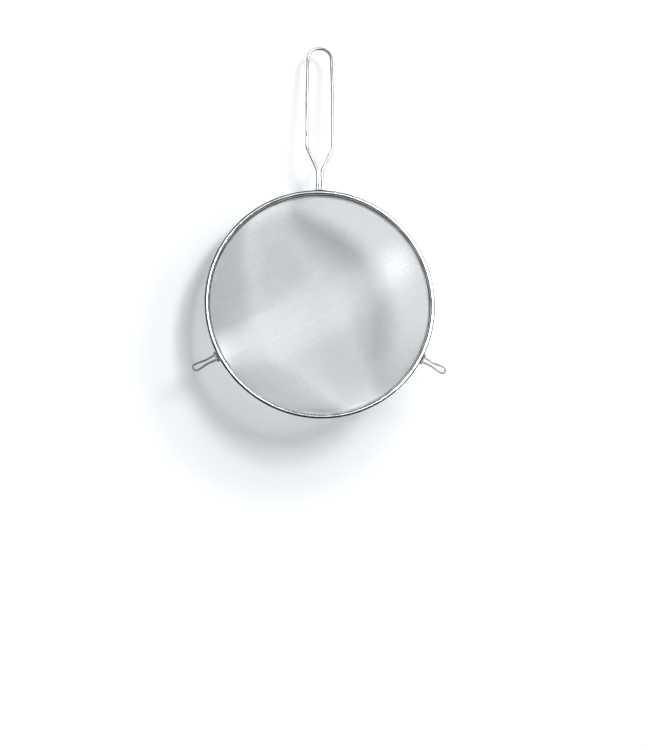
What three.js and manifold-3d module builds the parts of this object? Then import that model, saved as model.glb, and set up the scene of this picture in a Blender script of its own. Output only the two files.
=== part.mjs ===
// Handled kitchen sieve: a bowl of wire cloth in a rolled steel rim, a wire-loop handle and two wire ears.
// Millimetres, +Z up. The sieve hangs by its handle: the rim stands upright and the bowl bulges towards +Y.
// The origin is the point inside the top of the handle loop by which the sieve hangs.
import * as THREE from "three";
import { mergeVertices } from "three/addons/utils/BufferGeometryUtils.js";
import Module from "manifold-3d";

// Driving dimensions: rim
const RIM_OUTER_RADIUS = 120;
const BEAD_RADIUS = 2.3;
const STRIP_THICKNESS = 0.5;
const HOOP_RADIUS = 1.5;
const LIP_DEPTH = 4.9;
const SKIRT_DEPTH = 9.2;
const PIECE_GAP = 0.3;
const RIM_SEGMENTS = 64;

// Driving dimensions: bowl of wire cloth
const CLOTH_THICKNESS = 0.9;
const BOWL_DEPTH = 82;
const MOUTH_RADIUS = 114;
const MOUTH_DEPTH = 4.5;
const CLOTH_EDGE_DEPTH = 2;
const BOWL_RINGS = 12;
const CLOTH_WIRE_DIAMETER = 0.44;
const CLOTH_PITCH = 1.76;
const WEAVE_TURN = THREE.MathUtils.degToRad(27.8);
const OPENINGS_ACROSS = 12;
const SKIRT_MARGIN = 2;

// Driving dimensions: handle
const HANDLE_WIRE_RADIUS = 1.65;
const RIM_CENTRE_DROP = 273.6;
const RIM_SETBACK = 5;
const LOOP_TOP_HALF_WIDTH = 12.25;
const LOOP_HALF_WIDTH = 13.55;
const LOOP_WIDEST_DROP = 49;
const SHOULDER_DROP = 107;
const NECK_DROP = 131;
const NECK_HALF_WIDTH = 2.35;
const FOOT_HALF_WIDTH = 2.9;
const LOOP_TOP_BEND = 11.6;
const LOOP_SIDE_BEND = 80;
const SHOULDER_BEND = 9;
const NECK_BEND = 10;
const FOOT_BEND = 4;
const HANDLE_FOOT_ANGLE = THREE.MathUtils.degToRad(10);
const HANDLE_TAB_WIDTH = 11.4;
const HANDLE_WELD_RADIUS = 0.8;
const HANDLE_WELD_SHARE = 0.6;

// Driving dimensions: ears
const EAR_WIRE_RADIUS = 1;
const EAR_DROOP = THREE.MathUtils.degToRad(28);
const EAR_TIP_RADIUS = 147.7;
const EAR_BULB_HALF_WIDTH = 3.3;
const EAR_PINCH_HALF_WIDTH = 1.95;
const EAR_ROOT_HALF_WIDTH = 2.6;
const EAR_FOOT_HALF_WIDTH = 5.2;
const EAR_BULB_LENGTH = 4.8;
const EAR_PINCH_REACH = 10.5;
const EAR_TIP_BEND = 3.2;
const EAR_BULB_BEND = 8;
const EAR_PINCH_BEND = 14;
const EAR_FOOT_BEND = 1.5;
const EAR_FOOT_BEARING = 30;
const EAR_WELD_RADIUS = 0.9;

// Driving dimensions: saddle tabs, whose edges are given as bearings round the bead from straight outwards
const TAB_THICKNESS = 0.6;
const HANDLE_TAB_FRONT = -20;
const HANDLE_TAB_BACK = 75;
const EAR_TAB_WIDTH = 10.4;
const EAR_TAB_FRONT = -30;
const EAR_TAB_BACK = 80;

// Facets of round sections
const WIRE_SIDES = 8;
const BEND_STEPS = 6;
const BEAD_FACET = 30;
const BEAD_FACETS = 9;
const BEAD_FIRST_FACET = 105;
const TAB_POINTS = 7;
const ALONG_STEPS = 4;

// Worked out from them
const beadCentre = RIM_OUTER_RADIUS - BEAD_RADIUS;
const bowlHeight = BOWL_DEPTH - MOUTH_DEPTH;
const bowlRadius = (MOUTH_RADIUS ** 2 + bowlHeight ** 2) / (2 * bowlHeight);
const bowlCentreDepth = BOWL_DEPTH - bowlRadius;
const openingShare = 1 - CLOTH_WIRE_DIAMETER / CLOTH_PITCH;
const gripOffset = (CLOTH_THICKNESS + STRIP_THICKNESS) / 2 + PIECE_GAP;
const tabInner = BEAD_RADIUS + PIECE_GAP;
const tabOuter = tabInner + TAB_THICKNESS;
const earFootOffset = tabOuter + PIECE_GAP + EAR_WIRE_RADIUS;
const earFoot = onBead(earFootOffset, EAR_FOOT_BEARING);
const handleFootOffset = tabOuter + PIECE_GAP + HANDLE_WIRE_RADIUS;
const handleFootRadius = beadCentre + Math.sqrt(handleFootOffset ** 2 - RIM_SETBACK ** 2);

const steel = {
  cloth: { color: 0xc3c8ca, roughness: 0.35, metalness: 1 },
  polished: { color: 0xd6d9da, roughness: 0.15, metalness: 1 },
  wire: { color: 0xd2d5d6, roughness: 0.2, metalness: 1 },
  weld: { color: 0x8d9091, roughness: 0.45, metalness: 1 },
};

const wasm = await Module();
wasm.setup();

function piece(name, geometry, finish) {
  const mesh = new THREE.Mesh(geometry, new THREE.MeshStandardMaterial(finish));
  mesh.name = name;
  return mesh;
}

// A point of radius and depth at a distance from the bead's centre, on a bearing from outwards to the back
function onBead(distance, bearing) {
  const angle = THREE.MathUtils.degToRad(bearing);
  return new THREE.Vector2(beadCentre + distance * Math.cos(angle), distance * Math.sin(angle));
}

// Radius of the cloth's middle surface, moved outwards by an offset, at a depth behind the bead's centre
function clothRadius(depth, offset) {
  return Math.sqrt((bowlRadius + offset) ** 2 - (depth - bowlCentreDepth) ** 2);
}

// A solid turned about the rim's axis from a closed outline of radius and depth
function turned(outline) {
  return new THREE.LatheGeometry([...outline, outline[0]], RIM_SEGMENTS);
}

// Both sides of a sheet whose middle line is given, as one closed outline
function sheetOutline(middle, thickness) {
  const side = (half) =>
    middle.map((point, i) => {
      const before = middle[Math.max(i - 1, 0)];
      const after = middle[Math.min(i + 1, middle.length - 1)];
      const along = after.clone().sub(before).normalize();
      return new THREE.Vector2(point.x - along.y * half, point.y + along.x * half);
    });
  return [...side(-thickness / 2), ...side(thickness / 2).reverse()];
}

// Rim strip: outer skirt, round bead with a flat facet at its front, inner lip
function rimStrip() {
  const ring = BEAD_RADIUS - STRIP_THICKNESS / 2;
  const middle = [
    new THREE.Vector2(clothRadius(SKIRT_DEPTH, gripOffset), SKIRT_DEPTH),
    new THREE.Vector2(clothRadius(LIP_DEPTH, gripOffset), LIP_DEPTH),
    new THREE.Vector2(clothRadius(BEAD_RADIUS, gripOffset), BEAD_RADIUS + PIECE_GAP),
  ];
  for (let i = 0; i <= BEAD_FACETS; i++) {
    middle.push(onBead(ring, BEAD_FIRST_FACET - i * BEAD_FACET));
  }
  middle.push(new THREE.Vector2(clothRadius(CLOTH_EDGE_DEPTH, -gripOffset), CLOTH_EDGE_DEPTH));
  middle.push(new THREE.Vector2(clothRadius(LIP_DEPTH, -gripOffset), LIP_DEPTH));
  return turned(sheetOutline(middle, STRIP_THICKNESS));
}

function rimHoop() {
  return turned(Array.from({ length: WIRE_SIDES }, (_, i) => onBead(HOOP_RADIUS, (360 * i) / WIRE_SIDES)));
}

// A closed geometry as a solid that can be cut, with its shared corners merged and its empty triangles dropped
function toSolid(geometry) {
  const bare = geometry.clone();
  bare.deleteAttribute("normal");
  bare.deleteAttribute("uv");
  const merged = mergeVertices(bare);
  const corners = merged.getIndex().array;
  const triVerts = [];
  for (let i = 0; i < corners.length; i += 3) {
    const triangle = corners.slice(i, i + 3);
    if (new Set(triangle).size === 3) {
      triVerts.push(...triangle);
    }
  }
  const vertProperties = merged.getAttribute("position").array;
  return new wasm.Manifold(
    new wasm.Mesh({ numProp: 3, vertProperties, triVerts: Uint32Array.from(triVerts) }),
  );
}

function fromSolid(solid) {
  const { vertProperties, triVerts } = solid.getMesh();
  const geometry = new THREE.BufferGeometry();
  geometry.setAttribute("position", new THREE.BufferAttribute(vertProperties, 3));
  geometry.setIndex(new THREE.BufferAttribute(triVerts, 1));
  geometry.computeVertexNormals();
  return geometry;
}

// Boxes that open the bowl behind the rim's skirt, in rows and columns an even arc apart, turned as the weave is.
// They take the same share of the bowl as the gaps between the cloth's wires.
function bowlOpenings() {
  const front = SKIRT_DEPTH + SKIRT_MARGIN;
  const depth = BOWL_DEPTH + CLOTH_THICKNESS - front;
  const reach = clothRadius(front, 0);
  const step = (2 * Math.asin(reach / bowlRadius)) / OPENINGS_ACROSS;
  const rows = Array.from({ length: OPENINGS_ACROSS }, (_, i) => {
    const middle = i + 0.5 - OPENINGS_ACROSS / 2;
    const from = bowlRadius * Math.sin(step * (middle - openingShare / 2));
    const to = bowlRadius * Math.sin(step * (middle + openingShare / 2));
    return { size: to - from, centre: (from + to) / 2 };
  });
  const boxes = [];
  for (const across of rows) {
    for (const along of rows) {
      if (Math.hypot(across.centre, along.centre) < reach) {
        const box = new THREE.BoxGeometry(across.size, depth, along.size);
        box.translate(across.centre, front + depth / 2, along.centre);
        boxes.push(box.rotateY(-WEAVE_TURN));
      }
    }
  }
  return boxes;
}

// Bowl: a dome of even thickness, from its pole to the edge that the rim grips, with a grid of square openings
function meshBowl() {
  const surface = (offset) => {
    const radius = bowlRadius + offset;
    const edge = Math.acos((CLOTH_EDGE_DEPTH - bowlCentreDepth) / radius);
    return Array.from({ length: BOWL_RINGS + 1 }, (_, i) => {
      const angle = (edge * i) / BOWL_RINGS;
      return new THREE.Vector2(radius * Math.sin(angle), bowlCentreDepth + radius * Math.cos(angle));
    });
  };
  const outside = surface(CLOTH_THICKNESS / 2);
  const inside = surface(-CLOTH_THICKNESS / 2);
  const dome = new THREE.LatheGeometry([...inside, ...outside.reverse()], RIM_SEGMENTS);
  return fromSolid(bowlOpenings().reduce((bowl, box) => bowl.subtract(toSolid(box)), toSolid(dome)));
}

// A wire's centre line: straight runs in one step each, joined by round bends
class BentWire extends THREE.Curve {
  constructor(corners) {
    super();
    this.points = [corners[0].at];
    for (let i = 1; i < corners.length - 1; i++) {
      this.addBend(corners[i - 1].at, corners[i].at, corners[i + 1].at, corners[i].bend);
    }
    this.points.push(corners[corners.length - 1].at);
    this.steps = this.points.length - 1;
  }

  addBend(before, corner, after, radius) {
    const incoming = corner.clone().sub(before).normalize();
    const outgoing = after.clone().sub(corner).normalize();
    const turn = incoming.angleTo(outgoing);
    const tangent = radius * Math.tan(turn / 2);
    const start = corner.clone().addScaledVector(incoming, -tangent);
    const inward = outgoing.clone().sub(incoming).normalize();
    const centre = corner.clone().addScaledVector(inward, radius / Math.cos(turn / 2));
    const spoke = start.clone().sub(centre);
    const axis = incoming.clone().cross(outgoing).normalize();
    for (let i = 0; i <= BEND_STEPS; i++) {
      this.points.push(spoke.clone().applyAxisAngle(axis, (turn * i) / BEND_STEPS).add(centre));
    }
  }

  getPoint(t) {
    const place = t * this.steps;
    const i = Math.min(Math.floor(place), this.steps - 1);
    return this.points[i].clone().lerp(this.points[i + 1], place - i);
  }

  getUtoTmapping(u) {
    return u;
  }
}

// A round wire as an even-sided section of equal area, with flats square to the plane of its bends
function wire(corners, radius) {
  const path = new BentWire(corners);
  const share = (2 * Math.PI) / WIRE_SIDES;
  const reach = radius * Math.sqrt(share / Math.sin(share));
  const section = new THREE.Shape(
    Array.from({ length: WIRE_SIDES }, (_, i) => {
      const angle = share * (i + 0.5);
      return new THREE.Vector2(reach * Math.cos(angle), reach * Math.sin(angle));
    }),
  );
  return new THREE.ExtrudeGeometry(section, { steps: path.steps, extrudePath: path, bevelEnabled: false });
}

// Corners of one half of a wire, followed by the same corners mirrored in X
function mirrored(half) {
  const other = half.map(({ at, bend }) => ({ at: new THREE.Vector3(-at.x, at.y, at.z), bend }));
  return [...other, ...half.toReversed()];
}

function corner(x, z, bend = 0) {
  return { at: new THREE.Vector3(x, 0, z), bend };
}

// A point on a circle about the rim's centre, at an angle from straight up
function onRim(radius, angle, bend = 0) {
  return corner(radius * Math.sin(angle), radius * Math.cos(angle) - RIM_CENTRE_DROP, bend);
}

// Handle: feet along the back of the bead, neck, shoulders and a long loop with a round top
function handleLoop() {
  const root = Math.asin(FOOT_HALF_WIDTH / handleFootRadius);
  const half = [
    onRim(handleFootRadius, root + HANDLE_FOOT_ANGLE),
    onRim(handleFootRadius, root + HANDLE_FOOT_ANGLE / 2, handleFootRadius / 2),
    onRim(handleFootRadius, root, FOOT_BEND),
    corner(NECK_HALF_WIDTH, -NECK_DROP, NECK_BEND),
    corner(LOOP_HALF_WIDTH, -SHOULDER_DROP, SHOULDER_BEND),
    corner(LOOP_HALF_WIDTH, -LOOP_WIDEST_DROP, LOOP_SIDE_BEND),
    corner(LOOP_TOP_HALF_WIDTH, HANDLE_WIRE_RADIUS, LOOP_TOP_BEND),
  ];
  return wire(mirrored(half), HANDLE_WIRE_RADIUS);
}

// Ear: feet along the outside of the bead, a pinched neck and a round bulb, drawn standing straight up
function earLoop() {
  const tip = EAR_TIP_RADIUS - RIM_CENTRE_DROP;
  const bulb = tip - EAR_BULB_LENGTH;
  const pinch = bulb - EAR_PINCH_REACH;
  const half = [
    onRim(earFoot.x, Math.asin(EAR_FOOT_HALF_WIDTH / earFoot.x)),
    onRim(earFoot.x, Math.asin(EAR_ROOT_HALF_WIDTH / earFoot.x), EAR_FOOT_BEND),
    corner(EAR_PINCH_HALF_WIDTH, pinch, EAR_PINCH_BEND),
    corner(EAR_BULB_HALF_WIDTH, bulb, EAR_BULB_BEND),
    corner(EAR_BULB_HALF_WIDTH, tip, EAR_TIP_BEND),
  ];
  return wire(mirrored(half), EAR_WIRE_RADIUS);
}

// An outline of radius and depth carried along the rim, centred on straight up
function alongRim(outline, width) {
  const geometry = new THREE.ExtrudeGeometry(new THREE.Shape(outline), {
    depth: width,
    steps: ALONG_STEPS,
    bevelEnabled: false,
  });
  const place = geometry.getAttribute("position");
  for (let i = 0; i < place.count; i++) {
    const radius = place.getX(i);
    const angle = (width / 2 - place.getZ(i)) / beadCentre;
    place.setXYZ(i, radius * Math.sin(angle), place.getY(i), radius * Math.cos(angle));
  }
  return geometry;
}

// Saddle plate bent round the outside of the bead, between two bearings
function saddleTab(width, front, back) {
  const arc = (radius) =>
    Array.from({ length: TAB_POINTS }, (_, i) =>
      onBead(radius, front + ((back - front) * i) / (TAB_POINTS - 1)),
    );
  return alongRim([...arc(tabOuter), ...arc(tabInner).reverse()], width);
}

// Weld run of round section that follows the rim
function weldRun(centre, radius, width) {
  const section = Array.from({ length: WIRE_SIDES }, (_, i) => {
    const angle = (2 * Math.PI * i) / WIRE_SIDES;
    return new THREE.Vector2(radius * Math.cos(angle), radius * Math.sin(angle)).add(centre);
  });
  return alongRim(section, width);
}

// Assembly: the rim group's origin is the rim's centre, in the plane of the bead
const sieve = new THREE.Group();
const rim = new THREE.Group();
rim.position.set(0, -RIM_SETBACK, -RIM_CENTRE_DROP);
sieve.add(rim);

rim.add(piece("mesh_bowl", meshBowl(), steel.cloth));
rim.add(piece("rim_strip", rimStrip(), steel.polished));
rim.add(piece("rim_hoop", rimHoop(), steel.wire));

sieve.add(piece("handle_loop", handleLoop(), steel.wire));
rim.add(piece("handle_tab", saddleTab(HANDLE_TAB_WIDTH, HANDLE_TAB_FRONT, HANDLE_TAB_BACK), steel.polished));

// The handle's welds fill the space between its feet and the skirt
const skirtRadius = clothRadius(RIM_SETBACK, gripOffset + STRIP_THICKNESS / 2);
const handleWeld = new THREE.Vector2((skirtRadius + handleFootRadius - HANDLE_WIRE_RADIUS) / 2, RIM_SETBACK);
const handleWeldSweep = HANDLE_FOOT_ANGLE * HANDLE_WELD_SHARE;
const handleWeldAngle = handleWeldSweep + Math.asin(FOOT_HALF_WIDTH / handleFootRadius);
const earWeldWidth = 2 * (EAR_ROOT_HALF_WIDTH - EAR_WIRE_RADIUS - PIECE_GAP);

for (const [side, sign] of [
  ["left", -1],
  ["right", 1],
]) {
  const weld = weldRun(handleWeld, HANDLE_WELD_RADIUS, handleWeldSweep * handleWeld.x);
  const handleWeldPiece = piece(`handle_weld_${side}`, weld, steel.weld);
  handleWeldPiece.rotation.y = sign * handleWeldAngle;
  rim.add(handleWeldPiece);

  // Ear, its tab and its weld, turned together from straight up to the ear's place on the rim
  const ear = new THREE.Group();
  ear.rotation.y = sign * (Math.PI / 2 + EAR_DROOP);
  const loop = piece(`ear_loop_${side}`, earLoop(), steel.wire);
  loop.position.set(0, earFoot.y, RIM_CENTRE_DROP);
  ear.add(loop);
  ear.add(piece(`ear_tab_${side}`, saddleTab(EAR_TAB_WIDTH, EAR_TAB_FRONT, EAR_TAB_BACK), steel.polished));
  ear.add(piece(`ear_weld_${side}`, weldRun(earFoot, EAR_WELD_RADIUS, earWeldWidth), steel.weld));
  rim.add(ear);
}

export default sieve;
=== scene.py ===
import math

import bpy
import numpy as np
from mathutils import Matrix, Vector


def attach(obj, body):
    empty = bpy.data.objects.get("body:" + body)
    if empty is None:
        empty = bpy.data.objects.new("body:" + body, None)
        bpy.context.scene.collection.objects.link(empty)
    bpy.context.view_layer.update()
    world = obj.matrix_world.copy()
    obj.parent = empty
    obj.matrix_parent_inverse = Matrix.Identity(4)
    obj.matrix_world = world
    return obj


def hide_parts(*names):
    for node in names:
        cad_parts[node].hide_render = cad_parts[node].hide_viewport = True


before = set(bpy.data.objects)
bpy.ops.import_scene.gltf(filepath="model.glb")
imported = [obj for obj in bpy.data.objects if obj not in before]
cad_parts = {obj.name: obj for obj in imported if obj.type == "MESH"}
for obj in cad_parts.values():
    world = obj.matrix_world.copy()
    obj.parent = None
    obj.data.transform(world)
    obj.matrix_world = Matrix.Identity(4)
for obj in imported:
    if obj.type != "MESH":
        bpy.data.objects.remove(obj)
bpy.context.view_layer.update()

# Everything is in metres, in the part's frame: origin at the hang point, +Z up, the bowl bulges towards +Y
MM = 0.001
BACKWARD = np.array([0.0, 1.0, 0.0])
SIDES = (("left", -1), ("right", 1))
RANDOM_SEED = 11
rng = np.random.default_rng(RANDOM_SEED)

# Driving dimensions, the same as the part's, except that the ear tabs reach further round the front
RIM_OUTER_RADIUS = 120 * MM
BEAD_RADIUS = 2.3 * MM
STRIP_THICKNESS = 0.5 * MM
HOOP_RADIUS = 1.5 * MM
PIECE_GAP = 0.3 * MM
CLOTH_THICKNESS = 0.9 * MM
BOWL_DEPTH = 82 * MM
MOUTH_RADIUS = 114 * MM
MOUTH_DEPTH = 4.5 * MM
CLOTH_EDGE_DEPTH = 2 * MM
HANDLE_WIRE_RADIUS = 1.65 * MM
RIM_CENTRE_DROP = 273.6 * MM
RIM_SETBACK = 5 * MM
LOOP_TOP_HALF_WIDTH = 12.25 * MM
LOOP_HALF_WIDTH = 13.55 * MM
LOOP_WIDEST_DROP = 49 * MM
SHOULDER_DROP = 107 * MM
NECK_DROP = 131 * MM
NECK_HALF_WIDTH = 2.35 * MM
FOOT_HALF_WIDTH = 2.9 * MM
LOOP_TOP_BEND = 11.6 * MM
LOOP_SIDE_BEND = 80 * MM
SHOULDER_BEND = 9 * MM
NECK_BEND = 10 * MM
FOOT_BEND = 4 * MM
HANDLE_FOOT_ANGLE = math.radians(10)
HANDLE_TAB_WIDTH = 11.4 * MM
HANDLE_WELD_RADIUS = 0.8 * MM
HANDLE_WELD_SHARE = 0.6
EAR_WIRE_RADIUS = 1 * MM
EAR_DROOP = math.radians(28)
EAR_TIP_RADIUS = 147.7 * MM
EAR_BULB_HALF_WIDTH = 3.3 * MM
EAR_PINCH_HALF_WIDTH = 1.95 * MM
EAR_ROOT_HALF_WIDTH = 2.6 * MM
EAR_FOOT_HALF_WIDTH = 5.2 * MM
EAR_BULB_LENGTH = 4.8 * MM
EAR_PINCH_REACH = 10.5 * MM
EAR_TIP_BEND = 3.2 * MM
EAR_BULB_BEND = 8 * MM
EAR_PINCH_BEND = 14 * MM
EAR_FOOT_BEND = 1.5 * MM
EAR_FOOT_BEARING = 30
EAR_WELD_RADIUS = 0.9 * MM
TAB_THICKNESS = 0.6 * MM
HANDLE_TAB_FRONT = -20
HANDLE_TAB_BACK = 75
EAR_TAB_WIDTH = 10.4 * MM
EAR_TAB_FRONT = -62
EAR_TAB_BACK = 80

# Worked out from them
RIM_CENTRE = np.array([0, -RIM_SETBACK, -RIM_CENTRE_DROP])
bead_centre = RIM_OUTER_RADIUS - BEAD_RADIUS
bowl_height = BOWL_DEPTH - MOUTH_DEPTH
bowl_radius = (MOUTH_RADIUS**2 + bowl_height**2) / (2 * bowl_height)
bowl_centre_depth = BOWL_DEPTH - bowl_radius
grip_offset = (CLOTH_THICKNESS + STRIP_THICKNESS) / 2 + PIECE_GAP
lip_offset = (CLOTH_THICKNESS + STRIP_THICKNESS) / 2 + PIECE_GAP / 3
tab_inner = BEAD_RADIUS + PIECE_GAP
tab_outer = tab_inner + TAB_THICKNESS
ear_foot_offset = tab_outer + PIECE_GAP + EAR_WIRE_RADIUS
handle_foot_offset = tab_outer + PIECE_GAP + HANDLE_WIRE_RADIUS
handle_foot_radius = bead_centre + math.sqrt(handle_foot_offset**2 - RIM_SETBACK**2)


# Small shared geometry
def on_bead(distance, bearing):
    """Radius and depth of a point round the bead, on a bearing in degrees from outwards to the back."""
    angle = math.radians(bearing)
    return np.array([bead_centre + distance * math.cos(angle), distance * math.sin(angle)])


def cloth_radius(depth, offset):
    """Radius, at a depth behind the bead's middle, of the cloth's surface moved outwards by an offset."""
    return math.sqrt((bowl_radius + offset) ** 2 - (depth - bowl_centre_depth) ** 2)


def unit(vectors):
    """Vectors of length one in the same directions."""
    return vectors / np.linalg.norm(vectors, axis=-1, keepdims=True)


def full_turn(count):
    """Even angles round a full turn."""
    return np.linspace(0, 2 * math.pi, count, endpoint=False)


def round_rim(radius, depth, angle):
    """Points at radii and depths, turned about the rim's axis by angles from straight up towards +X."""
    return RIM_CENTRE + np.stack([radius * np.sin(angle), depth + 0 * angle, radius * np.cos(angle)], -1)


def swept(path, upright, radius, sides):
    """Rings of points round a path, and the grain that runs along it. upright is nowhere along the path."""
    along = unit(np.gradient(path, axis=0))
    upright = unit(upright - (upright * along).sum(-1, keepdims=True) * along)
    across = np.cross(along, upright)
    angle = full_turn(sides)
    radius = np.broadcast_to(radius, len(path))[:, None, None]
    cosine = np.cos(angle)[None, :, None]
    sine = np.sin(angle)[None, :, None]
    section = cosine * upright[:, None] + sine * across[:, None]
    steps = np.linalg.norm(np.diff(path, axis=0), axis=1)
    length = np.concatenate([[0], np.cumsum(steps)])
    grain = np.empty((len(path), sides, 3))
    grain[:, :, 0] = length[:, None]
    grain[:, :, 1] = radius[:, :, 0] * np.cos(angle)
    grain[:, :, 2] = radius[:, :, 0] * np.sin(angle)
    return path[:, None] + radius * section, grain


# Meshes. Each tube has a place in the map that its piece is baked through, and its two ends lie in that
# place's margins
WHOLE_MAP = (0, 0, 1, 1)
MAP_MARGIN_ALONG = 0.01
MAP_MARGIN_ROUND = 0.02
MAP_END_HALF_WIDTH = 0.004
MAP_END_HALF_HEIGHT = 0.4


class Shape:
    """Points and faces of one piece, with the grain and tone that its material follows, and its map."""

    def __init__(self):
        self.points, self.grain, self.tone = [], [], []
        self.faces, self.places = [], []
        self.count = 0

    def add_tube(self, points, grain, place, tone=0.0, wrap_rows=False):
        """Rows of points, each row a closed ring. The ends get a face each unless the rows wrap."""
        rows, ring = points.shape[:2]
        index = self.count + np.arange(rows * ring).reshape(rows, ring)
        self.points.append(points.reshape(-1, 3))
        self.grain.append(grain.reshape(-1, 3))
        self.tone.append(np.broadcast_to(tone, (rows, ring)).ravel())
        self.count += rows * ring
        last = rows if wrap_rows else rows - 1
        after = np.roll(index, -1, 0)[:last]
        here = index[:last]
        sides = [here, after, np.roll(after, -1, 1), np.roll(here, -1, 1)]
        self.faces.append(np.stack(sides, -1).reshape(-1, 4))
        low_u, low_v, wide, high = place
        u = low_u + wide * np.linspace(MAP_MARGIN_ALONG, 1 - MAP_MARGIN_ALONG, rows + 1)[: last + 1]
        v = low_v + high * np.linspace(MAP_MARGIN_ROUND, 1 - MAP_MARGIN_ROUND, ring + 1)
        spots = np.zeros((last, ring, 4, 2))
        for k, (along, round_it) in enumerate(((0, 0), (1, 0), (1, 1), (0, 1))):
            spots[:, :, k, 0] = u[along : along + last, None]
            spots[:, :, k, 1] = v[None, round_it : round_it + ring]
        self.places.append(spots.reshape(-1, 2))
        if wrap_rows:
            return
        angle = full_turn(ring)
        disc = np.stack([np.cos(angle), np.sin(angle)], -1)
        disc *= [MAP_END_HALF_WIDTH * wide, MAP_END_HALF_HEIGHT * high]
        in_margin = MAP_MARGIN_ALONG / 2
        for row, at in ((index[0], in_margin), (index[-1][::-1], 1 - in_margin)):
            self.faces.append(row[None, :])
            self.places.append(disc + [low_u + at * wide, low_v + high / 2])

    def mesh(self, name):
        """The Blender mesh, smooth shaded, with its grain, tone and map."""
        corners = np.concatenate([face.ravel() for face in self.faces])
        sizes = np.concatenate([np.full(len(face), face.shape[1]) for face in self.faces])
        mesh = bpy.data.meshes.new(name)
        mesh.vertices.add(self.count)
        mesh.vertices.foreach_set("co", np.concatenate(self.points).ravel().astype(np.float32))
        mesh.loops.add(len(corners))
        mesh.loops.foreach_set("vertex_index", corners.astype(np.int32))
        mesh.polygons.add(len(sizes))
        mesh.polygons.foreach_set("loop_start", (np.cumsum(sizes) - sizes).astype(np.int32))
        mesh.update(calc_edges=True)
        mesh.polygons.foreach_set("use_smooth", np.ones(len(sizes), bool))
        grain = mesh.attributes.new("grain", "FLOAT_VECTOR", "POINT")
        grain.data.foreach_set("vector", np.concatenate(self.grain).ravel().astype(np.float32))
        tone = mesh.attributes.new("tone", "FLOAT", "POINT")
        tone.data.foreach_set("value", np.concatenate(self.tone).astype(np.float32))
        bake_map = mesh.uv_layers.new(name="OFBake")
        bake_map.uv.foreach_set("vector", np.concatenate(self.places).ravel().astype(np.float32))
        mesh.update()
        return mesh


def one_tube(points, grain, tone=0.0, wrap_rows=False):
    """A shape of a single tube, which takes up the whole map."""
    shape = Shape()
    shape.add_tube(points, grain, WHOLE_MAP, tone, wrap_rows)
    return shape


def place_piece(name, shape, material, slot, *nodes):
    """A piece of the sieve, riding on its one body and standing for CAD nodes."""
    piece = bpy.data.objects.new(name, shape.mesh(name))
    piece.data.materials.append(material)
    bpy.context.scene.collection.objects.link(piece)
    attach(piece, "root")
    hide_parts(*nodes)


# Nodes
def node(tree, kind, inputs=None, **settings):
    """A node with settings, its inputs set to values or linked to other nodes' outputs."""
    made = tree.nodes.new(kind)
    for key, value in settings.items():
        setattr(made, key, value)
    for key, value in (inputs or {}).items():
        if isinstance(value, bpy.types.NodeSocket):
            tree.links.new(value, made.inputs[key])
        else:
            made.inputs[key].default_value = value
    return made


def combined(tree, operation, first, second):
    """Output of a node that works out one number from two."""
    return node(tree, "ShaderNodeMath", {0: first, 1: second}, operation=operation).outputs["Value"]


def ramp(tree, factor, stops):
    """A colour ramp through (position, colour) stops."""
    made = node(tree, "ShaderNodeValToRGB", {"Fac": factor})
    elements = made.color_ramp.elements
    while len(elements) < len(stops):
        elements.new(0.5)
    for element, (position, colour) in zip(elements, stops):
        element.position = position
        element.color = (*colour, 1)
    return made.outputs["Color"]


def noise(tree, vector, scale, detail, stretch=(1, 1, 1)):
    """Noise in the grain's space, in features per metre, with that space scaled first to stretch it."""
    scaled = node(tree, "ShaderNodeMapping", {"Vector": vector, "Scale": stretch}).outputs["Vector"]
    made = node(tree, "ShaderNodeTexNoise", {"Vector": scaled, "Scale": scale, "Detail": detail})
    return made.outputs["Fac"]


def plain_material(name, values):
    """A material whose shader has the given values, with its node tree and that shader."""
    material = bpy.data.materials.new(name)
    material.use_nodes = True
    tree = material.node_tree
    shader = tree.nodes["Principled BSDF"]
    for socket, value in values.items():
        shader.inputs[socket].default_value = value
    return material, tree, shader


# Metals. Noise lies mostly between these two values, over which the roughness is spread
NOISE_LOW = 0.3
NOISE_HIGH = 0.7


def metal(name):
    """A plain metal, with its node tree, its shader and the grain that its pattern follows."""
    material, tree, shader = plain_material(name, {"Metallic": 1})
    grain = node(tree, "ShaderNodeAttribute", attribute_name="grain").outputs["Vector"]
    return material, tree, shader, grain


def skin(tree, shader, wear, low_rough, high_rough, height, strength, depth):
    """Roughness that follows the wear of a metal, and bumps that follow a height."""
    worn = {"Value": wear, "From Min": NOISE_LOW, "From Max": NOISE_HIGH}
    rough = node(tree, "ShaderNodeMapRange", {**worn, "To Min": low_rough, "To Max": high_rough})
    tree.links.new(rough.outputs["Result"], shader.inputs["Roughness"])
    bump = node(tree, "ShaderNodeBump", {"Height": height, "Strength": strength, "Distance": depth})
    tree.links.new(bump.outputs["Normal"], shader.inputs["Normal"])


# Steel: how its drawing lines and patches look, and the tones that have its darkest, dark and light colours
LINE_STRETCH = (0.02, 1, 1)
LINE_DETAIL = 4
LINE_STRENGTH = 0.35
PATCH_DETAIL = 5
DARKEST_SHARE = 0.45
DARKEST_AT = 0
DARK_AT = 0.3
LIGHT_AT = 0.62


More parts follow.
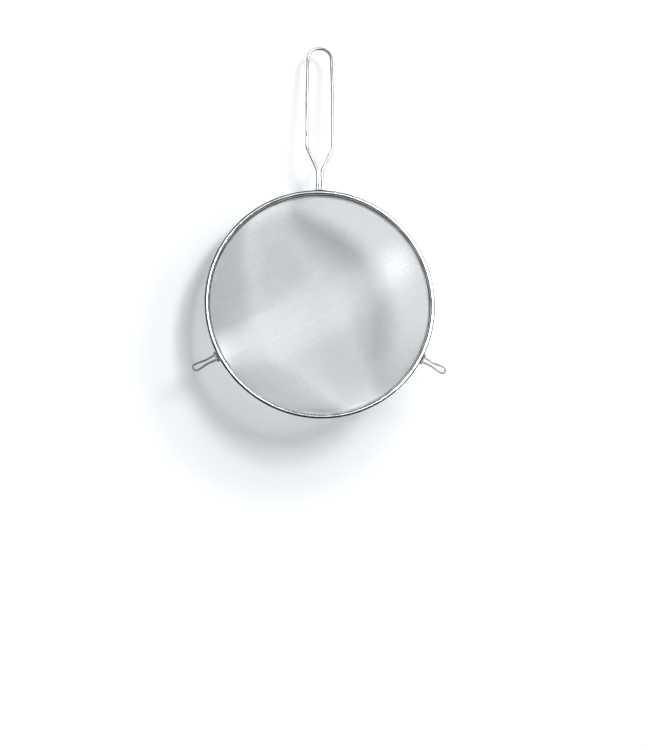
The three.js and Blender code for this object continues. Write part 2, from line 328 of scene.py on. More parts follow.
def steel(name, light, dark, smooth, rough, line_scale, line_depth, patch_scale, patchiness=1.0):
    """Stainless steel: drawing lines along the grain, and patches that are duller and darker."""
    material, tree, shader, grain = metal(name)
    tone = node(tree, "ShaderNodeAttribute", attribute_name="tone").outputs["Fac"]
    lines = noise(tree, grain, line_scale, LINE_DETAIL, LINE_STRETCH)
    patches = noise(tree, grain, patch_scale, PATCH_DETAIL)
    spread = {"Value": patches, "To Min": 0.5 - patchiness / 2, "To Max": 0.5 + patchiness / 2}
    uneven = node(tree, "ShaderNodeMapRange", spread).outputs["Result"]
    darkest = [DARKEST_SHARE * part for part in dark]
    stops = ((DARKEST_AT, darkest), (DARK_AT, dark), (LIGHT_AT, light))
    colour = ramp(tree, combined(tree, "ADD", uneven, tone), stops)
    tree.links.new(colour, shader.inputs["Base Color"])
    mixed = node(tree, "ShaderNodeMix", {"Factor": 0.5, "A": patches, "B": lines}).outputs["Result"]
    skin(tree, shader, mixed, rough, smooth, lines, LINE_STRENGTH, line_depth)
    return material


# Weld metal: its heat colours and its pits
HEAT_SCALE = 420
HEAT_DETAIL = 3
HEAT_COLOURS = (
    (0.3, (0.16, 0.17, 0.2)),
    (0.48, (0.34, 0.34, 0.35)),
    (0.6, (0.42, 0.38, 0.31)),
    (0.75, (0.3, 0.3, 0.31)),
)
PIT_SCALE = 2600
PIT_DETAIL = 4
PIT_STRENGTH = 0.5
PIT_DEPTH = 0.06 * MM
WELD_SMOOTH = 0.3
WELD_ROUGH = 0.55


def weld_metal():
    """Cleaned weld: dull grey with straw and blue heat colours and a pitted skin."""
    material, tree, shader, grain = metal("weld_metal")
    heat = noise(tree, grain, HEAT_SCALE, HEAT_DETAIL)
    pits = noise(tree, grain, PIT_SCALE, PIT_DETAIL)
    tree.links.new(ramp(tree, heat, HEAT_COLOURS), shader.inputs["Base Color"])
    skin(tree, shader, pits, WELD_SMOOTH, WELD_ROUGH, pits, PIT_STRENGTH, PIT_DEPTH)
    return material


CLOTH = steel(
    "wire_cloth",
    light=(0.96, 0.965, 0.97),
    dark=(0.4, 0.405, 0.41),
    smooth=0.28,
    rough=0.34,
    line_scale=9000,
    line_depth=0.01 * MM,
    patch_scale=120,
    patchiness=0.2,
)
STRIP = steel(
    "polished_strip",
    light=(0.85, 0.86, 0.87),
    dark=(0.46, 0.47, 0.48),
    smooth=0.08,
    rough=0.16,
    line_scale=5000,
    line_depth=0.01 * MM,
    patch_scale=60,
)
WIRE = steel(
    "round_wire",
    light=(0.5, 0.51, 0.52),
    dark=(0.36, 0.37, 0.38),
    smooth=0.12,
    rough=0.24,
    line_scale=4000,
    line_depth=0.015 * MM,
    patch_scale=90,
)
# Ears' wires and saddles: a darker round wire, painted shade for the dark surroundings they reflect
EAR_STEEL_PAINTED_SHADE = steel(
    "ear_wire",
    light=(0.24, 0.245, 0.25),
    dark=(0.1, 0.105, 0.11),
    smooth=0.24,
    rough=0.4,
    line_scale=4000,
    line_depth=0.015 * MM,
    patch_scale=140,
)
WELD = weld_metal()


# Wire cloth: two families of wires, over and under each other, on a net of equal steps pressed into the bowl
WIRE_PITCH = {"a": 1.68 * MM, "b": 1.87 * MM}
CLOTH_WIRE_RADIUS = 0.22 * MM
CLOTH_WIRE_SIDES = 6
WEAVE_TURN = math.radians(27.8)
NET_HALF_COUNT = 90
FEWEST_CROSSINGS = 3
STEPS_PER_MESH = 3
CLOTH_SHARES = 6
PITCH_SPREAD = 0.001
# How far the wires of each family rise and dip at a crossing, as a share of a wire's diameter
CRIMP = {"a": 0.66, "b": 0.29}
# Wires of the first family towards which their neighbours are drawn, by a share of the pitch that falls off
# over a few wires. Where the share is negative, they are pushed away
GATHERED_WIRES = {17: -0.5, -3: 0.4, -16: 0.3, 35: -0.25, 43: 0.25, 54: -0.25}
GATHER_REACH = 5
# How light the wires are, how much they differ, and how much lighter one is painted where it stands proud
# of a crossing than in the crevice on its other side: a painted highlight on top and painted shade in the
# crevice
CLOTH_TONE = 0.17
TONE_SPREAD = 0.03
CROSSING_PAINTED_LIGHT_AND_SHADE = 0.5
# How far apart neighbouring wires lie in the grain's space
GRAIN_APART = np.array([0, 3 * MM, 2 * MM])


def axis_steps(pitch, gathered):
    """Distances of the wires of one family from the middle wire."""
    steps = pitch * (1 + PITCH_SPREAD * rng.standard_normal(2 * NET_HALF_COUNT))
    places = np.concatenate([[0], np.cumsum(steps)])
    numbers = np.arange(-NET_HALF_COUNT, NET_HALF_COUNT + 1)
    for wire, share in gathered.items():
        away = numbers - wire
        places -= share * pitch * np.sign(away) * np.exp(-(np.abs(away) - 1) / GATHER_REACH)
    return places - places[NET_HALF_COUNT]


def cloth_net():
    """Directions from the bowl's centre to every crossing. Each mesh of the net keeps its sides' lengths."""
    first = np.array([math.cos(WEAVE_TURN), 0, math.sin(WEAVE_TURN)])
    second = np.array([-math.sin(WEAVE_TURN), 0, math.cos(WEAVE_TURN)])
    middle = NET_HALF_COUNT
    net = np.zeros((2 * middle + 1, 2 * middle + 1, 3))
    for line, pitch, gathered, direction in (
        (net[:, middle], WIRE_PITCH["b"], {}, first),
        (net[middle, :], WIRE_PITCH["a"], GATHERED_WIRES, second),
    ):
        angle = axis_steps(pitch, gathered)[:, None] / bowl_radius
        line[:] = np.cos(angle) * BACKWARD + np.sin(angle) * direction
    for way_first in (1, -1):
        for way_second in (1, -1):
            quarter = net[middle::way_first, middle::way_second]
            for i in range(1, middle + 1):
                for j in range(1, middle + 1):
                    between = quarter[i, j - 1] + quarter[i - 1, j]
                    between /= math.sqrt(between @ between)
                    opposite = quarter[i - 1, j - 1]
                    quarter[i, j] = 2 * (opposite @ between) * between - opposite
    return net


def cloth_wire(directions, over, crimp):
    """Path of one wire over one crossing and under the next, cut off inside the rim, and how it rises."""
    edge = (CLOTH_EDGE_DEPTH - bowl_centre_depth) / bowl_radius
    inside = np.flatnonzero(directions[:, 1] > edge)
    if len(inside) < FEWEST_CROSSINGS:
        return None
    first, last = inside[0], inside[-1]
    line = [directions[first : last + 1]]
    height = [np.where((np.arange(first, last + 1) + over) % 2 == 0, 1.0, -1.0)]
    for end, beyond, before in ((first, first - 1, True), (last, last + 1, False)):
        share = (directions[end, 1] - edge) / (directions[end, 1] - directions[beyond, 1])
        cut = directions[end] + share * (directions[beyond] - directions[end])
        rise = height[0][0 if before else -1] * (1 - 2 * share)
        line.insert(0 if before else len(line), cut[None])
        height.insert(0 if before else len(height), np.array([rise]))
    line = unit(np.concatenate(line))
    height = np.concatenate(height)
    share = np.arange(STEPS_PER_MESH) / STEPS_PER_MESH
    ease = (1 - np.cos(math.pi * share)) / 2
    uprights = line[:-1, None] * (1 - share)[:, None] + line[1:, None] * share[:, None]
    uprights = unit(np.concatenate([uprights.reshape(-1, 3), line[-1:]]))
    rises = height[:-1, None] * (1 - ease) + height[1:, None] * ease
    rises = np.append(rises, height[-1])
    path = uprights * (bowl_radius + crimp * rises)[:, None]
    return path + RIM_CENTRE + bowl_centre_depth * BACKWARD, uprights, rises


def wire_cloth():
    """All the wires, each family in a few pieces of about as many wires each."""
    net = cloth_net()
    outward = np.cos(full_turn(CLOTH_WIRE_SIDES))
    for family, lines in (("a", net.transpose(1, 0, 2)), ("b", net)):
        wires = []
        for number, line in enumerate(lines):
            made = cloth_wire(line, number + (family == "b"), 2 * CLOTH_WIRE_RADIUS * CRIMP[family])
            if made is not None:
                wires.append((*made, CLOTH_TONE + TONE_SPREAD * rng.standard_normal()))
        for share, part in enumerate(np.array_split(np.arange(len(wires)), CLOTH_SHARES)):
            shape = Shape()
            for row, number in enumerate(part):
                path, uprights, rises, shade = wires[number]
                points, grain = swept(path, uprights, CLOTH_WIRE_RADIUS, CLOTH_WIRE_SIDES)
                grain += number * GRAIN_APART
                # Painted highlight where the wire stands proud of a crossing, painted shade in the crevice
                # under the other wire
                tone = shade + CROSSING_PAINTED_LIGHT_AND_SHADE * rises[:, None] * outward
                shape.add_tube(points, grain, (0, row / len(part), 1, 1 / len(part)), tone)
            place_piece(f"cloth_wires_{family}{share + 1}", shape, CLOTH, "wire_cloth", "mesh_bowl")


# Rim strip: outer skirt, rolled bead and inner lip in one sheet, with the joint where its two ends meet
RIM_STEPS = 280
JOINT_ANGLE = 8.4
JOINT_HALF_WIDTH = 0.12
JOINT_ROWS = 5
JOINT_SUNK_SHARE = 0.8
JOINT_DEPTH = 0.14 * MM
FRONT_FLAT = 1.2 * MM
SKIRT_START = 3.92 * MM
SKIRT_END = 6.4 * MM
LIP_START = 1.2 * MM
LIP_END = 1.9 * MM
RUN_POINTS = 4
BEAD_BEARINGS = range(105, -190, -9)
CORNER_CUT = 0.25
CORNER_ROUNDS = 2
SHEET_EDGE_POINTS = 5
# The lip's edge waves a little, with these counts of waves round the rim
LIP_UNEVENNESS = 0.06 * MM
LIP_WAVES = (3, 7, 13, 29)
# The lip is painted lighter, and the bead and the skirt darker, with the bead's outer flank towards the
# front
# darkest: painted light and shade, which dims the bead's highlight and gives it a dark outer edge
LIP_PAINTED_LIGHT = 0.12
BEAD_PAINTED_SHADE = -0.14
FLANK_PAINTED_SHADE = -0.32


def softened(points):
    """A line with its corners cut off, its two ends kept."""
    for _ in range(CORNER_ROUNDS):
        near = (1 - CORNER_CUT) * points[:-1] + CORNER_CUT * points[1:]
        far = CORNER_CUT * points[:-1] + (1 - CORNER_CUT) * points[1:]
        points = np.concatenate([points[:1], np.stack([near, far], 1).reshape(-1, 2), points[-1:]])
    return points


def cloth_run(start, end, offset):
    """Points along the cloth, at an offset from its middle, between two depths."""
    return [(cloth_radius(depth, offset), depth) for depth in np.linspace(start, end, RUN_POINTS)]


def strip_middle(lip_depth):
    """Middle line of the sheet, from the skirt's edge round the bead, flat in front, to the lip's edge."""
    ring = BEAD_RADIUS - STRIP_THICKNESS / 2
    front = math.sqrt(BEAD_RADIUS**2 - (FRONT_FLAT / 2) ** 2) - STRIP_THICKNESS / 2
    skirt = cloth_run(SKIRT_END, SKIRT_START, grip_offset)
    throat = (cloth_radius(BEAD_RADIUS, grip_offset), BEAD_RADIUS + PIECE_GAP)
    round_bead = [on_bead(ring, bearing) for bearing in BEAD_BEARINGS]
    bead = [(radius, max(depth, -front)) for radius, depth in round_bead]
    lip = cloth_run(LIP_START, lip_depth, -lip_offset)
    return softened(np.array([*skirt, throat, *bead, *lip]))


def strip_section(lip_depth, inset):
    """Closed outline of the sheet with round edges, drawn in by an inset."""
    middle = strip_middle(lip_depth)
    along = unit(np.gradient(middle, axis=0))
    out = np.stack([-along[:, 1], along[:, 0]], -1)
    half = STRIP_THICKNESS / 2 - inset
    turn = np.linspace(0, math.pi, SHEET_EDGE_POINTS + 2)[1:-1, None]
    start = middle[0] + half * (np.cos(turn) * out[0] - np.sin(turn) * along[0])
    end = middle[-1] + half * (-np.cos(turn) * out[-1] + np.sin(turn) * along[-1])
    return np.concatenate([middle + half * out, end[::-1], (middle - half * out)[::-1], start[::-1]])


def strip_painted_light_and_shade(section):
    """How bright each outline point is: painted light on the lip, painted shade on the bead and the skirt.
    """
    radius, depth = section.T
    on_lip = (radius < bead_centre - BEAD_RADIUS) & (depth < LIP_END + STRIP_THICKNESS)
    flank = np.interp(radius - bead_centre, [FRONT_FLAT / 4, FRONT_FLAT / 2], [0, 1])
    ahead = np.interp(depth, [0, BEAD_RADIUS / 2], [1, 0])
    return np.where(on_lip, LIP_PAINTED_LIGHT, BEAD_PAINTED_SHADE + FLANK_PAINTED_SHADE * flank * ahead)


def rim_strip():
    """The whole strip, its outline carried round the rim."""
    even = np.arange(RIM_STEPS) * 360 / RIM_STEPS
    joint = JOINT_ANGLE + JOINT_HALF_WIDTH * np.linspace(-1, 1, JOINT_ROWS)
    kept = even[np.abs(even - JOINT_ANGLE) > 2 * JOINT_HALF_WIDTH]
    angles = np.sort(np.concatenate([kept, joint]))
    in_joint = np.abs(angles - JOINT_ANGLE) < JOINT_SUNK_SHARE * JOINT_HALF_WIDTH
    sunk = np.where(in_joint, JOINT_DEPTH, 0)
    turns = np.radians(angles)
    wave = np.zeros(len(turns))
    for count in LIP_WAVES:
        wave += rng.standard_normal() * np.sin(count * turns + rng.uniform(0, 2 * math.pi))
    points, grain, tone = [], [], []
    for angle, inset, ripple in zip(turns, sunk, wave):
        section = strip_section(LIP_END + LIP_UNEVENNESS * ripple, inset)
        points.append(round_rim(*section.T, angle))
        grain.append(np.stack([np.full(len(section), bead_centre * angle), *section.T], -1))
        # Painted light on the lip, painted shade on the bead, its outer flank and the skirt
        tone.append(strip_painted_light_and_shade(section))
    shape = one_tube(np.array(points), np.array(grain), np.array(tone), wrap_rows=True)
    place_piece("rim_sheet", shape, STRIP, "polished_strip", "rim_strip")


# Hoop: the round wire inside the bead, closed where its two ends meet
HOOP_SIDES = 16


def rim_hoop():
    path = round_rim(bead_centre, 0, full_turn(RIM_STEPS))
    points, grain = swept(path, BACKWARD, HOOP_RADIUS, HOOP_SIDES)
    place_piece("rim_wire", one_tube(points, grain, wrap_rows=True), WIRE, "round_wire", "rim_hoop")


# Bent round wires. Their ends are rounded over the given shares of a quarter turn, down to a flat face
BEND_STEP = math.radians(5)
FEWEST_BEND_POINTS = 3
WIRE_SIDES = 28
WIRE_STEP = 2.5 * MM
WIRE_END_TURNS = (0.5, 0.85, 1.0)
WIRE_END_REACH = 0.125
WIRE_END_FACE = 0.7


def bent(corners):
    """Path of straight runs joined by round bends, through (x, z, bend radius) corners."""
    path = [np.array(corners[0][:2])]
    for before, here, after in zip(corners, corners[1:], corners[2:]):
        at, radius = np.array(here[:2]), here[2]
        incoming = unit(at - np.array(before[:2]))
        outgoing = unit(np.array(after[:2]) - at)
        turn = math.acos(max(-1, min(1, incoming @ outgoing)))
        start = at - incoming * radius * math.tan(turn / 2)
        way = np.sign(incoming[0] * outgoing[1] - incoming[1] * outgoing[0])
        inward = way * np.array([-incoming[1], incoming[0]])
        centre = start + inward * radius
        count = max(FEWEST_BEND_POINTS, math.ceil(turn / BEND_STEP) + 1)
        for angle in np.linspace(0, turn, count):
            path.append(centre + radius * (incoming * math.sin(angle) - inward * math.cos(angle)))
    path.append(np.array(corners[-1][:2]))
    return np.array(path)


def even_path(path, step):
    """The same path with long straight runs cut into even steps."""
    made = [path[:1]]
    for start, end in zip(path, path[1:]):
        count = max(1, math.ceil(np.linalg.norm(end - start) / step))
        made.append(start + (end - start) * np.arange(1, count + 1)[:, None] / count)
    return np.concatenate(made)


def round_wire(flat_path, radius):
    """A wire in the plane of its path, in x and z, with slightly rounded ends."""
    path = np.zeros((len(flat_path), 3))
    path[:, [0, 2]] = flat_path
    first, last = unit(path[0] - path[1]), unit(path[-1] - path[-2])
    swell = np.ones(len(path))
    for turn in WIRE_END_TURNS:
        reach = WIRE_END_REACH * radius * math.sin(turn * math.pi / 2)
        narrow = WIRE_END_FACE + (1 - WIRE_END_FACE) * math.cos(turn * math.pi / 2)
        path = np.concatenate([[path[0] + first * reach], path, [path[-1] + last * reach]])
        swell = np.concatenate([[narrow], swell, [narrow]])
    return swept(path, BACKWARD, radius * swell, WIRE_SIDES)


def mirrored(half):
    """The corners of a whole loop from those of its right half, from the left foot to the right one."""
    return [(-x, z, bend) for x, z, bend in half] + half[::-1]


def rim_corner(radius, angle, bend=0.0):
    """A corner on a circle about the rim's centre, at an angle from straight up."""
    return radius * math.sin(angle), radius * math.cos(angle) - RIM_CENTRE_DROP, bend


def handle_loop():
    root = math.asin(FOOT_HALF_WIDTH / handle_foot_radius)
    half = [
        rim_corner(handle_foot_radius, root + HANDLE_FOOT_ANGLE),
        rim_corner(handle_foot_radius, root + HANDLE_FOOT_ANGLE / 2, handle_foot_radius / 2),
        rim_corner(handle_foot_radius, root, FOOT_BEND),
        (NECK_HALF_WIDTH, -NECK_DROP, NECK_BEND),
        (LOOP_HALF_WIDTH, -SHOULDER_DROP, SHOULDER_BEND),
        (LOOP_HALF_WIDTH, -LOOP_WIDEST_DROP, LOOP_SIDE_BEND),
        (LOOP_TOP_HALF_WIDTH, HANDLE_WIRE_RADIUS, LOOP_TOP_BEND),
    ]
    points, grain = round_wire(even_path(bent(mirrored(half)), WIRE_STEP), HANDLE_WIRE_RADIUS)
    place_piece("handle_wire", one_tube(points, grain), WIRE, "round_wire", "handle_loop")


def ear_turn(points, side):
    """Points of an ear drawn standing straight up, turned about the rim's axis to its own place."""
    angle = side * (math.pi / 2 + EAR_DROOP)
    x, depth, z = np.moveaxis(points - RIM_CENTRE, -1, 0)
    turned = [x * math.cos(angle) + z * math.sin(angle), depth, z * math.cos(angle) - x * math.sin(angle)]
    return RIM_CENTRE + np.stack(turned, -1)


def ear_loop(name, side):
    foot_radius, foot_depth = on_bead(ear_foot_offset, EAR_FOOT_BEARING)
    tip = EAR_TIP_RADIUS - RIM_CENTRE_DROP
    bulb = tip - EAR_BULB_LENGTH
    half = [
        rim_corner(foot_radius, math.asin(EAR_FOOT_HALF_WIDTH / foot_radius)),
        rim_corner(foot_radius, math.asin(EAR_ROOT_HALF_WIDTH / foot_radius), EAR_FOOT_BEND),
        (EAR_PINCH_HALF_WIDTH, bulb - EAR_PINCH_REACH, EAR_PINCH_BEND),
        (EAR_BULB_HALF_WIDTH, bulb, EAR_BULB_BEND),
        (EAR_BULB_HALF_WIDTH, tip, EAR_TIP_BEND),
    ]
    points, grain = round_wire(even_path(bent(mirrored(half)), WIRE_STEP / 2), EAR_WIRE_RADIUS)
    points[..., 1] += foot_depth - RIM_SETBACK
    shape = one_tube(ear_turn(points, side), grain)
    # The ear's wire is painted darker than the handle's, as painted shade
    place_piece(f"ear_wire_{name}", shape, EAR_STEEL_PAINTED_SHADE, "round_wire", f"ear_loop_{name}")


# Saddle tabs: small plates bent round the outside of the bead, with rounded edges
TAB_ARC_STEPS = 16
TAB_LENGTH_STEPS = 10
TAB_EDGE_STEPS = 5
TAB_EDGE_LEAST = 0.12


def tab_section(front, back, half):
    """Round-ended outline of a plate bent round the bead, with half its thickness given."""
    spine = (tab_inner + tab_outer) / 2
    trim = math.degrees(TAB_THICKNESS / 2 / spine)
    bearings = np.linspace(front + trim, back - trim, TAB_ARC_STEPS)
    outside = [on_bead(spine + half, bearing) for bearing in bearings]
    inside = [on_bead(spine - half, bearing) for bearing in bearings[::-1]]
    turns = np.linspace(0, 180, SHEET_EDGE_POINTS + 2)[1:-1]
    ends = []
    for bearing, start in ((bearings[-1], 0), (bearings[0], 180)):
        angle = np.radians(bearing + start + turns)
        ends.append(on_bead(spine, bearing) + half * np.stack([np.cos(angle), np.sin(angle)], -1))
    return np.concatenate([outside, ends[0], inside, ends[1]])


def saddle_tab(width, front, back):
    """Rows of outline points along the rim, drawn in at both ends so that no edge is sharp."""
    half = TAB_THICKNESS / 2
    run_end = width / 2 - half
    edge = np.linspace(0, math.pi / 2, TAB_EDGE_STEPS, endpoint=False)
    closing = half * np.maximum(np.sin(edge + TAB_EDGE_LEAST), TAB_EDGE_LEAST)
    start = list(zip(-run_end - half * np.cos(edge), closing))
    run = [(x, half) for x in np.linspace(-run_end, run_end, TAB_LENGTH_STEPS)]
    end = [(-x, thickness) for x, thickness in start[::-1]]
    points, grain = [], []
    for x, thickness in start + run + end:
        section = tab_section(front, back, thickness)
        points.append(round_rim(*section.T, x / bead_centre))
        grain.append(np.stack([np.full(len(section), x), *section.T], -1))
    return np.array(points)[::-1], np.array(grain)[::-1]


def tabs():
    points, grain = saddle_tab(HANDLE_TAB_WIDTH, HANDLE_TAB_FRONT, HANDLE_TAB_BACK)
    place_piece("handle_saddle", one_tube(points, grain), STRIP, "polished_strip", "handle_tab")
    points, grain = saddle_tab(EAR_TAB_WIDTH, EAR_TAB_FRONT, EAR_TAB_BACK)
    for name, side in SIDES:
        shape = one_tube(ear_turn(points, side), grain)
        # The ear saddles take the ears' steel, painted darker than the strip as painted shade
        place_piece(f"ear_saddle_{name}", shape, EAR_STEEL_PAINTED_SHADE, "polished_strip", f"ear_tab_{name}")


# Weld runs: rippled beads of weld metal with round ends
WELD_STEPS = 40
WELD_SIDES = 20
WELD_RIPPLE_LENGTH = 0.55 * MM
WELD_RIPPLE_DEPTH = 0.07
WELD_END_POWER = 5
WELD_END_LEAST = 0.02
WELD_LUMPS = 0.032


def weld_run(centre, radius, width, middle_angle):
    """Rings of a weld that follows the rim, with overlapping ripples and a lumpy skin."""
    place = np.linspace(-1, 1, WELD_STEPS)
    path = round_rim(*centre, middle_angle + place * width / 2 / centre[0])
    ends = np.sqrt(np.maximum(1 - np.abs(place) ** WELD_END_POWER, WELD_END_LEAST))
    ripple = 1 - WELD_RIPPLE_DEPTH * np.abs(np.sin(math.pi * place * width / 2 / WELD_RIPPLE_LENGTH))
    points, grain = swept(path, BACKWARD, radius * ends * ripple, WELD_SIDES)
    lumps = WELD_LUMPS * radius * rng.standard_normal(points.shape[:2])
    lumps = (lumps + np.roll(lumps, 1, 1) + np.roll(lumps, -1, 1)) / 3
    outward = unit(points - path[:, None])
    return points + outward * (lumps * ends[:, None])[..., None], grain


def welds():
    skirt = cloth_radius(RIM_SETBACK, grip_offset + STRIP_THICKNESS / 2)
    handle = ((skirt + handle_foot_radius - HANDLE_WIRE_RADIUS) / 2, RIM_SETBACK)
    sweep = HANDLE_FOOT_ANGLE * HANDLE_WELD_SHARE
    handle_angle = sweep + math.asin(FOOT_HALF_WIDTH / handle_foot_radius)
    ear = on_bead(ear_foot_offset, EAR_FOOT_BEARING)
    ear_width = 2 * (EAR_ROOT_HALF_WIDTH - EAR_WIRE_RADIUS - PIECE_GAP)
    for name, side in SIDES:
        points, grain = weld_run(handle, HANDLE_WELD_RADIUS, sweep * handle[0], side * handle_angle)
        shape = one_tube(points, grain)
        place_piece(f"handle_bead_{name}", shape, WELD, "weld_metal", f"handle_weld_{name}")
        points, grain = weld_run(ear, EAR_WELD_RADIUS, ear_width, 0.0)
        shape = one_tube(ear_turn(points, side), grain)
        place_piece(f"ear_bead_{name}", shape, WELD, "weld_metal", f"ear_weld_{name}")


# Stage: the wall that the sieve hangs on, leaning as the sieve leans in the photograph, and a floor below
WALL_BEHIND_HANDLE = 25 * MM
WALL_CLEARANCE = 1 * MM
WALL_TURN = math.radians(9.1)
WALL_SIZE = 4
WALL_COLOUR = (0.715, 0.73, 0.745, 1)
FLOOR_DROP = 1.6
FLOOR_SIZE = 40
FLOOR_COLOUR = (0.75, 0.76, 0.77, 1)
FLOOR_ROUGHNESS = 0.9
FLOOR_GLOSS = 0.1
# The wall is seen as white away from the bowl's shadow, from where that begins to where it is full
WALL_LIFT = 0.215
WALL_LIFT_COLOUR = (1, 1, 1, 1)
SHADOW_MIDDLE = (-35 * MM, 86 * MM, -313 * MM)
WHITE_BEGINS = 130 * MM
WHITE_FULL = 205 * MM
# The floor is seen as pale beyond the lamps' reach, from where that begins to where it is full
FLOOR_LIFT = 0.6
FLOOR_LIFT_COLOUR = (0.98, 0.99, 1, 1)
FLOOR_MIDDLE = (0, 0, -FLOOR_DROP)
REACH_BEGINS = 2.2
REACH_FULL = 4.6
# Cards for the metal to reflect: a white one in front, a grey one just behind it, and four from the grey
# one's edges back past the rim
CARD_ROLL = math.radians(27.8)
WHITE_TOWARDS = np.array([0.03, -1, 0.12])
WHITE_DISTANCE = 4.9
WHITE_HALF_WIDTH = WHITE_DISTANCE * math.tan(math.radians(32))
WHITE_HALF_HEIGHT = WHITE_DISTANCE * math.tan(math.radians(38))
WHITE_GREY = 1
FRONT_TOWARDS = np.array([0.2, -1, 0.31])
FRONT_DISTANCE = 5
FRONT_HALF_WIDTH = FRONT_DISTANCE * math.tan(math.radians(40))
FRONT_HALF_HEIGHT = FRONT_DISTANCE * math.tan(math.radians(22))
FRONT_GREY = 0.28
CARD_HALF_WIDTH = 0.4
CARD_BACK = 0.2
CARD_GREYS = {"bottom": 0.08, "right": 0.1, "top": 0.1, "left": 0.08}


def facing(towards, roll):
    """Right, up and outward directions of a plane that faces the rim's centre, rolled about its own axis."""
    out = unit(towards)
    right = unit(np.cross([0, 0, 1], out))
    up = np.cross(out, right)
    c, s = math.cos(roll), math.sin(roll)
    return c * right + s * up, c * up - s * right, out


def rectangle(centre, right, up):
    """Corners of a rectangle that spans from minus to plus the two half sides about its centre."""
    return [centre + x * right + y * up for x, y in ((-1, -1), (1, -1), (1, 1), (-1, 1))]


def stage_plane(name, corners, material):
    """A flat plane that isn't part of the sieve."""
    mesh = bpy.data.meshes.new(name)
    mesh.from_pydata([tuple(corner) for corner in corners], [], [(0, 1, 2, 3)])
    mesh.materials.append(material)
    made = bpy.data.objects.new(name, mesh)
    bpy.context.scene.collection.objects.link(made)
    return made


def seen(tree):
    """One for rays by which a surface is seen, also in metal or through glass, and nothing for others."""
    ray = node(tree, "ShaderNodeLightPath").outputs
    made = ray["Is Camera Ray"]
    for kind in ("Is Glossy Ray", "Is Transmission Ray"):
        made = combined(tree, "MAXIMUM", made, ray[kind])
    return made


def lifted(tree, shader, middle, begins, full, most):
    """Makes a surface seen as paler than it is lit, the more so the further it is from a middle point."""
    place = node(tree, "ShaderNodeNewGeometry").outputs["Position"]
    away = node(tree, "ShaderNodeVectorMath", {0: place, 1: middle}, operation="DISTANCE").outputs["Value"]
    pale = node(
        tree,
        "ShaderNodeMapRange",
        {"Value": away, "From Min": begins, "From Max": full, "To Max": most},
        interpolation_type="SMOOTHSTEP",
    ).outputs["Result"]
    tree.links.new(combined(tree, "MULTIPLY", seen(tree), pale), shader.inputs["Emission Strength"])


def wall_paint():
    """Matt and pale from the front, nothing from behind, and seen as white away from the sieve's shadow."""
    values = {
        "Base Color": WALL_COLOUR,
        "Roughness": 1,
        "Specular IOR Level": 0,
        "Emission Color": WALL_LIFT_COLOUR,
    }
    material, tree, shader = plain_material("wall_paint", values)
    lifted(tree, shader, SHADOW_MIDDLE, WHITE_BEGINS, WHITE_FULL, WALL_LIFT)
    side = node(tree, "ShaderNodeNewGeometry").outputs["Backfacing"]
    clear = node(tree, "ShaderNodeBsdfTransparent").outputs["BSDF"]
    mixed = node(tree, "ShaderNodeMixShader", {0: side, 1: shader.outputs["BSDF"], 2: clear})
    tree.links.new(mixed.outputs["Shader"], tree.nodes["Material Output"].inputs["Surface"])
    return material


def floor_paint():
    """Matt and pale, and seen as pale where the lamps don't reach it."""
    values = {
        "Base Color": FLOOR_COLOUR,
        "Roughness": FLOOR_ROUGHNESS,
        "Specular IOR Level": FLOOR_GLOSS,
        "Emission Color": FLOOR_LIFT_COLOUR,
    }
    material, tree, shader = plain_material("floor_paint", values)
    lifted(tree, shader, FLOOR_MIDDLE, REACH_BEGINS, REACH_FULL, FLOOR_LIFT)
    return material


def wall_lean():
    """Lean of the wall at which it passes behind the handle's top and just touches the bowl."""
    behind = (WALL_BEHIND_HANDLE + RIM_SETBACK - bowl_centre_depth) * math.cos(WALL_TURN)
    touch = bowl_radius + CLOTH_THICKNESS / 2 + WALL_CLEARANCE
    return math.atan2(RIM_CENTRE_DROP, behind) - math.acos(touch / math.hypot(behind, RIM_CENTRE_DROP))


def wall_and_floor():
    lean = wall_lean()
    right = np.array([math.cos(WALL_TURN), math.sin(WALL_TURN), 0])
    level = np.array([math.sin(WALL_TURN), -math.cos(WALL_TURN), 0])
    up = math.sin(lean) * level + np.array([0, 0, math.cos(lean)])
    top = np.array([0, WALL_BEHIND_HANDLE, 0])
    stage_plane("wall", rectangle(top, WALL_SIZE / 2 * right, WALL_SIZE / 2 * up), wall_paint())
    x, y, z = np.eye(3)
    half_floor = FLOOR_SIZE / 2
    stage_plane("floor", rectangle(-FLOOR_DROP * z, half_floor * x, half_floor * y), floor_paint())


def card_corners(towards, distance, half_width, half_height):
    """Corners of a card that faces the rim's centre from a distance."""
    right, up, out = facing(towards, CARD_ROLL)
    return rectangle(RIM_CENTRE + distance * out, half_width * right, half_height * up)


def card(name, corners, grey):
    """A card that only the metal sees: it is hidden from the camera, lights nothing and throws no shadow."""
    values = {
        "Base Color": (0, 0, 0, 1),
        "Specular IOR Level": 0,
        "Emission Color": (grey, grey, grey, 1),
        "Emission Strength": 1,
    }
    material, _, _ = plain_material(name, values)
    made = stage_plane(f"card_{name}", corners, material)
    made.visible_camera = False
    made.visible_diffuse = False
    made.visible_shadow = False


def cards():
    near = card_corners(-BACKWARD, -CARD_BACK, CARD_HALF_WIDTH, CARD_HALF_WIDTH)
    far = card_corners(FRONT_TOWARDS, FRONT_DISTANCE, FRONT_HALF_WIDTH, FRONT_HALF_HEIGHT)
    white = card_corners(WHITE_TOWARDS, WHITE_DISTANCE, WHITE_HALF_WIDTH, WHITE_HALF_HEIGHT)
    card("front", far, FRONT_GREY)
    card("white", white, WHITE_GREY)
    for k, (name, grey) in enumerate(CARD_GREYS.items()):
        after = (k + 1) % len(CARD_GREYS)
        card(name, [near[k], near[after], far[after], far[k]], grey)


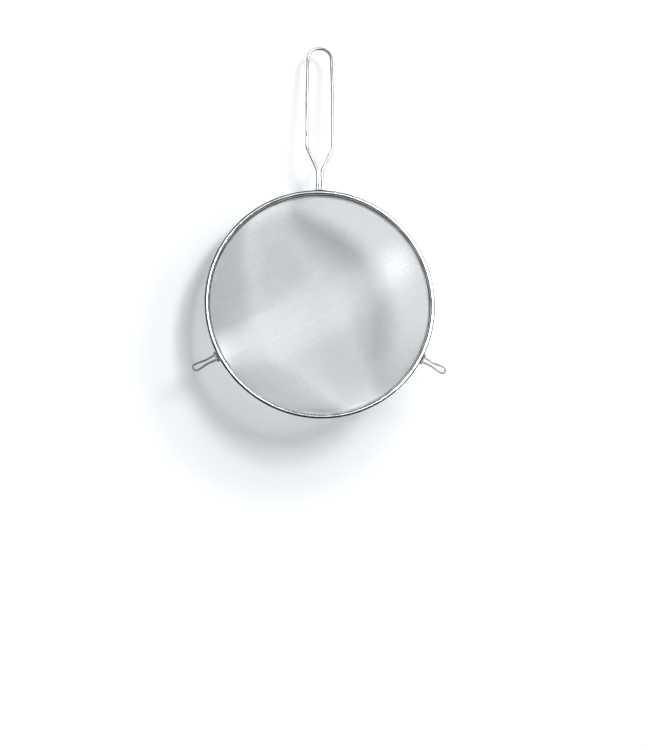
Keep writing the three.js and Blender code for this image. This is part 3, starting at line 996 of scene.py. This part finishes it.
# Light: a soft key lamp from the upper right, a wide dim one above, and an even pale room
CEILING_TOWARDS = np.array([0, -1, 0.85])
CEILING_DISTANCE = 2.5
CEILING_SIZE = 1.6
CEILING_LEVEL = 0.24
KEY_TOWARDS = np.array([0.325, -1, 0.233])
KEY_DISTANCE = 4.3
KEY_SIZE = 1.15
KEY_LEVEL = 0.95
ROOM_COLOUR = (0.97, 0.985, 1, 1)
ROOM_LEVEL = 0.09
ROOM_SEEN = 0.95


def lamp(name, towards, distance, size, level):
    """A square lamp that lights a white surface facing it, at the rim's centre, to a level."""
    right, up, out = facing(towards, 0)
    data = bpy.data.lights.new(name, "AREA")
    data.size = size
    data.energy = level * (math.pi * distance) ** 2
    made = bpy.data.objects.new(name, data)
    made.location = RIM_CENTRE + distance * out
    made.rotation_euler = Matrix((right, up, out)).transposed().to_euler()
    made.visible_camera = False
    bpy.context.scene.collection.objects.link(made)
    return made


def light():
    lamp("key", KEY_TOWARDS, KEY_DISTANCE, KEY_SIZE, KEY_LEVEL)
    ceiling = lamp("ceiling", CEILING_TOWARDS, CEILING_DISTANCE, CEILING_SIZE, CEILING_LEVEL)
    ceiling.visible_glossy = False
    world = bpy.data.worlds.new("room")
    bpy.context.scene.world = world
    world.use_nodes = True
    tree = world.node_tree
    background = tree.nodes["Background"]
    background.inputs["Color"].default_value = ROOM_COLOUR
    levels = {"Value": seen(tree), "To Min": ROOM_LEVEL, "To Max": ROOM_SEEN}
    strength = node(tree, "ShaderNodeMapRange", levels).outputs["Result"]
    tree.links.new(strength, background.inputs["Strength"])


# Camera: the photograph's view, for an image of 650 by 750 pixels
IMAGE_WIDTH, IMAGE_HEIGHT = 650, 750
CAMERA_AZIMUTH = math.radians(-5.9)
CAMERA_ELEVATION = math.radians(-10)
CAMERA_DISTANCE = 1.5
CAMERA_ROLL = math.radians(0.13)
METRES_PER_PIXEL = 1.037 * MM
RIM_CENTRE_PIXEL = (320.65, 303.4)
SENSOR = 36


def camera():
    a, e = CAMERA_AZIMUTH, CAMERA_ELEVATION
    back = Vector((math.sin(a) * math.cos(e), -math.cos(a) * math.cos(e), math.sin(e)))
    right = Vector((math.cos(a), math.sin(a), 0))
    up = back.cross(right)
    aside = (IMAGE_WIDTH / 2 - RIM_CENTRE_PIXEL[0]) * METRES_PER_PIXEL
    down = (IMAGE_HEIGHT / 2 - RIM_CENTRE_PIXEL[1]) * METRES_PER_PIXEL
    target = Vector(RIM_CENTRE) + aside * right - down * up
    lens = bpy.data.cameras.new("camera")
    lens.sensor_width = SENSOR
    lens.lens = CAMERA_DISTANCE / METRES_PER_PIXEL * SENSOR / IMAGE_HEIGHT
    made = bpy.data.objects.new("camera", lens)
    made.location = Vector(RIM_CENTRE) + CAMERA_DISTANCE * back
    aimed = (target - made.location).to_track_quat("-Z", "Y").to_matrix().to_4x4()
    made.rotation_euler = (aimed @ Matrix.Rotation(-CAMERA_ROLL, 4, "Z")).to_euler()
    bpy.context.scene.collection.objects.link(made)
    bpy.context.scene.camera = made


camera()
wall_and_floor()
cards()
light()
wire_cloth()
rim_strip()
rim_hoop()
handle_loop()
for ear_name, ear_side in SIDES:
    ear_loop(ear_name, ear_side)
tabs()
welds()
bpy.context.scene.view_settings.view_transform = "Standard"
